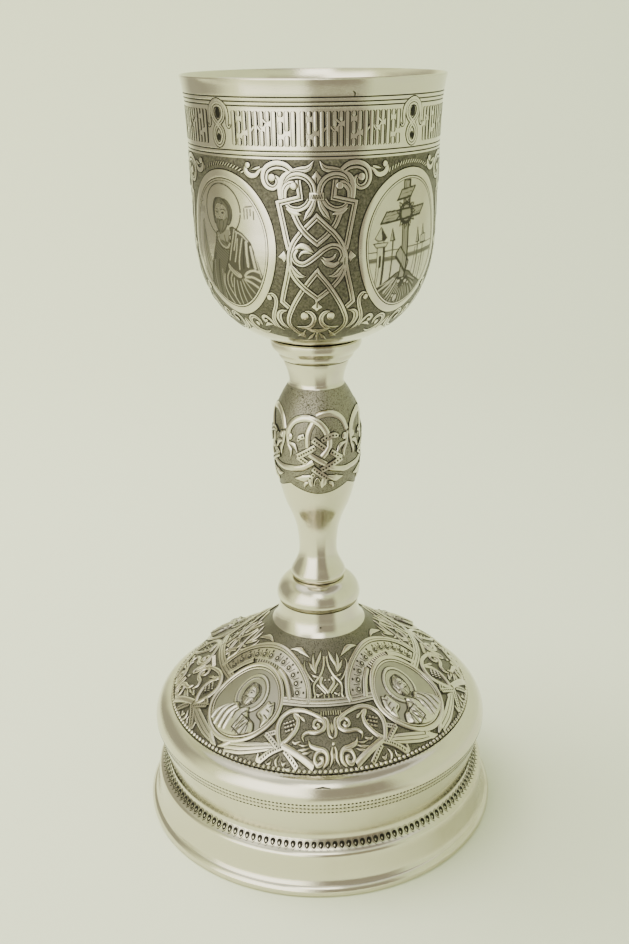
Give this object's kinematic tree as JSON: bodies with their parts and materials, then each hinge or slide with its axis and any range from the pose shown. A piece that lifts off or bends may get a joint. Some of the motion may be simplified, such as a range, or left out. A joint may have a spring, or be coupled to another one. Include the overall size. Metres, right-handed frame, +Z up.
{
  "type": "silver altar chalice",
  "caption": "Tall stemmed cup with a deep flared bowl, a stepped collar, a baluster stem with a knop, and a wide domed foot, for holding wine.",
  "frame": {"origin": "centre of the foot's underside, on the plane that it stands on", "axes": "+Z up along the axis of the cup, -Y towards the front panel"},
  "size_m": [0.1494, 0.1494, 0.3],
  "materials": {
    "engraved_silver": "polished silver, engraved, with blackened lines and grounds",
    "polished_silver": "polished silver",
    "stem_silver": "polished silver with a knop of raised straps on a punched, tarnished ground",
    "ring_silver": "polished silver",
    "foot_silver": "silver chased in relief, tarnished in the recesses",
    "side_silver": "polished silver with punched lines and a row of pits"
  },
  "bodies": {
    "root": {"bowl": "engraved_silver", "bowl_collar": "polished_silver", "stem": "stem_silver", "stem_ring": "ring_silver", "foot_dome": "foot_silver", "foot_side": "side_silver"}
  },
  "joints": []
}
